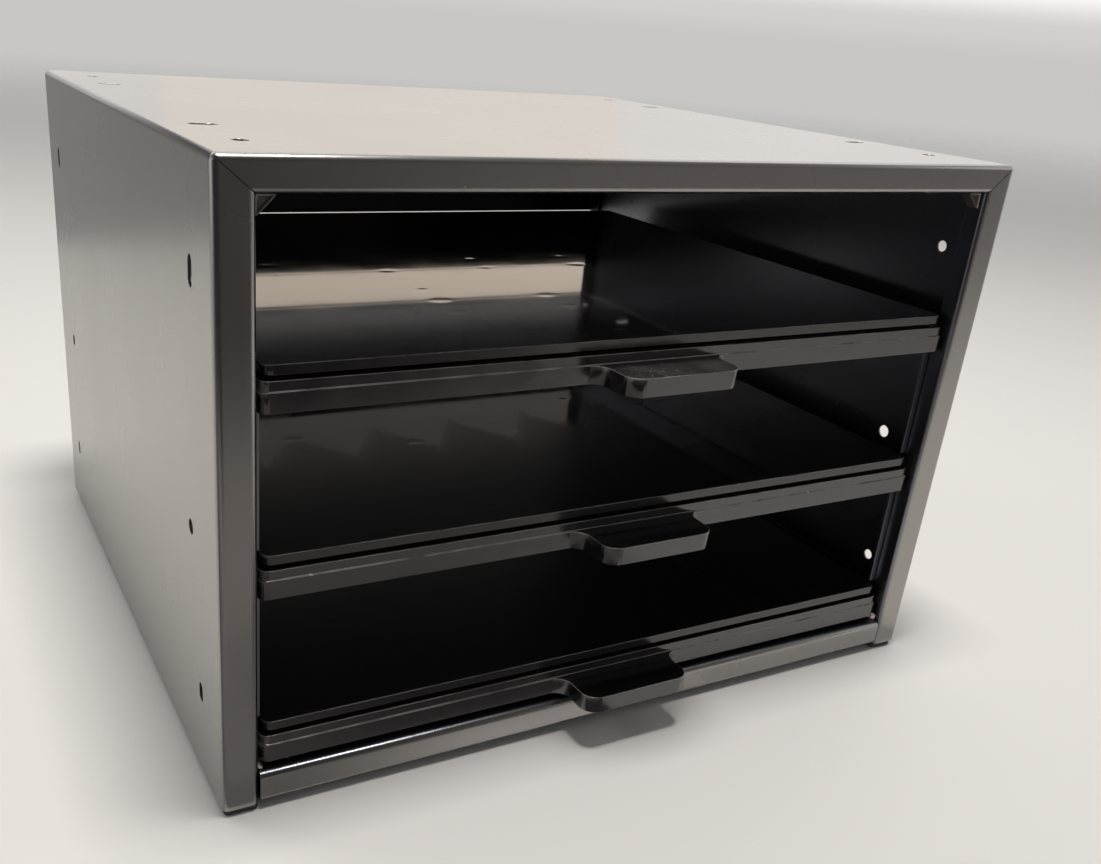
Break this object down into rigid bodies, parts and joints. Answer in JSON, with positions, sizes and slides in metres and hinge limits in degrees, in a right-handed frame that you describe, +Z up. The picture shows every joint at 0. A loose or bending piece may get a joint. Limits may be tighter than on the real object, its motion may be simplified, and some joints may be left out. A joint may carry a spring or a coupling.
{
  "type": "parts drawer cabinet",
  "caption": "Small bent-steel bench cabinet with an open front, pull-out black trays with centred pull tabs, bolt holes in walls and top, and rubber feet.",
  "frame": {"origin": "on the table, under the middle of the whole object with its pull tabs", "axes": "+X to the right seen from the front, +Y from the open front to the back, +Z up"},
  "size_m": [0.385, 0.368, 0.263],
  "materials": {
    "cabinet_paint": "satin metallic pewter powder coat",
    "deck_gloss": "polished black",
    "frame_satin": "satin black",
    "foot_rubber": "matt",
    "screw_zinc": "zinc plated"
  },
  "bodies": {
    "cabinet": {"cabinet_shell": "cabinet_paint", "base_pan": "cabinet_paint", "rear_rail": "cabinet_paint", "runner_top_left": "cabinet_paint", "runner_top_right": "cabinet_paint", "runner_middle_left": "cabinet_paint", "runner_middle_right": "cabinet_paint", "runner_bottom_left": "cabinet_paint", "runner_bottom_right": "cabinet_paint", "guide_upper_left": "cabinet_paint", "guide_upper_right": "cabinet_paint", "guide_lower_left": "cabinet_paint", "guide_lower_right": "cabinet_paint", "corner_weld_top_left": "cabinet_paint", "corner_weld_top_right": "cabinet_paint", "corner_weld_bottom_left": "cabinet_paint", "corner_weld_bottom_right": "cabinet_paint", "foot_front_left": "foot_rubber", "foot_front_right": "foot_rubber", "foot_rear_left": "foot_rubber", "foot_rear_right": "foot_rubber"},
    "tray_top": {"tray_deck_top": "deck_gloss", "tray_frame_top": "frame_satin", "deck_screw_top_1": "screw_zinc", "deck_screw_top_2": "screw_zinc", "deck_screw_top_3": "screw_zinc", "deck_screw_top_4": "screw_zinc"},
    "tray_middle": {"tray_deck_middle": "deck_gloss", "tray_frame_middle": "frame_satin", "deck_screw_middle_1": "screw_zinc", "deck_screw_middle_2": "screw_zinc", "deck_screw_middle_3": "screw_zinc", "deck_screw_middle_4": "screw_zinc"},
    "tray_bottom": {"tray_deck_bottom": "deck_gloss", "tray_frame_bottom": "frame_satin", "deck_screw_bottom_1": "screw_zinc", "deck_screw_bottom_2": "screw_zinc", "deck_screw_bottom_3": "screw_zinc", "deck_screw_bottom_4": "screw_zinc"}
  },
  "joints": [
    {"name": "slide_top", "type": "slide", "parent": "cabinet", "child": "tray_top", "axis": [0, -1, 0], "range_m": [0, 0.2]},
    {"name": "slide_middle", "type": "slide", "parent": "cabinet", "child": "tray_middle", "axis": [0, -1, 0], "range_m": [0, 0.2]},
    {"name": "slide_bottom", "type": "slide", "parent": "cabinet", "child": "tray_bottom", "axis": [0, -1, 0], "range_m": [0, 0.2]}
  ]
}
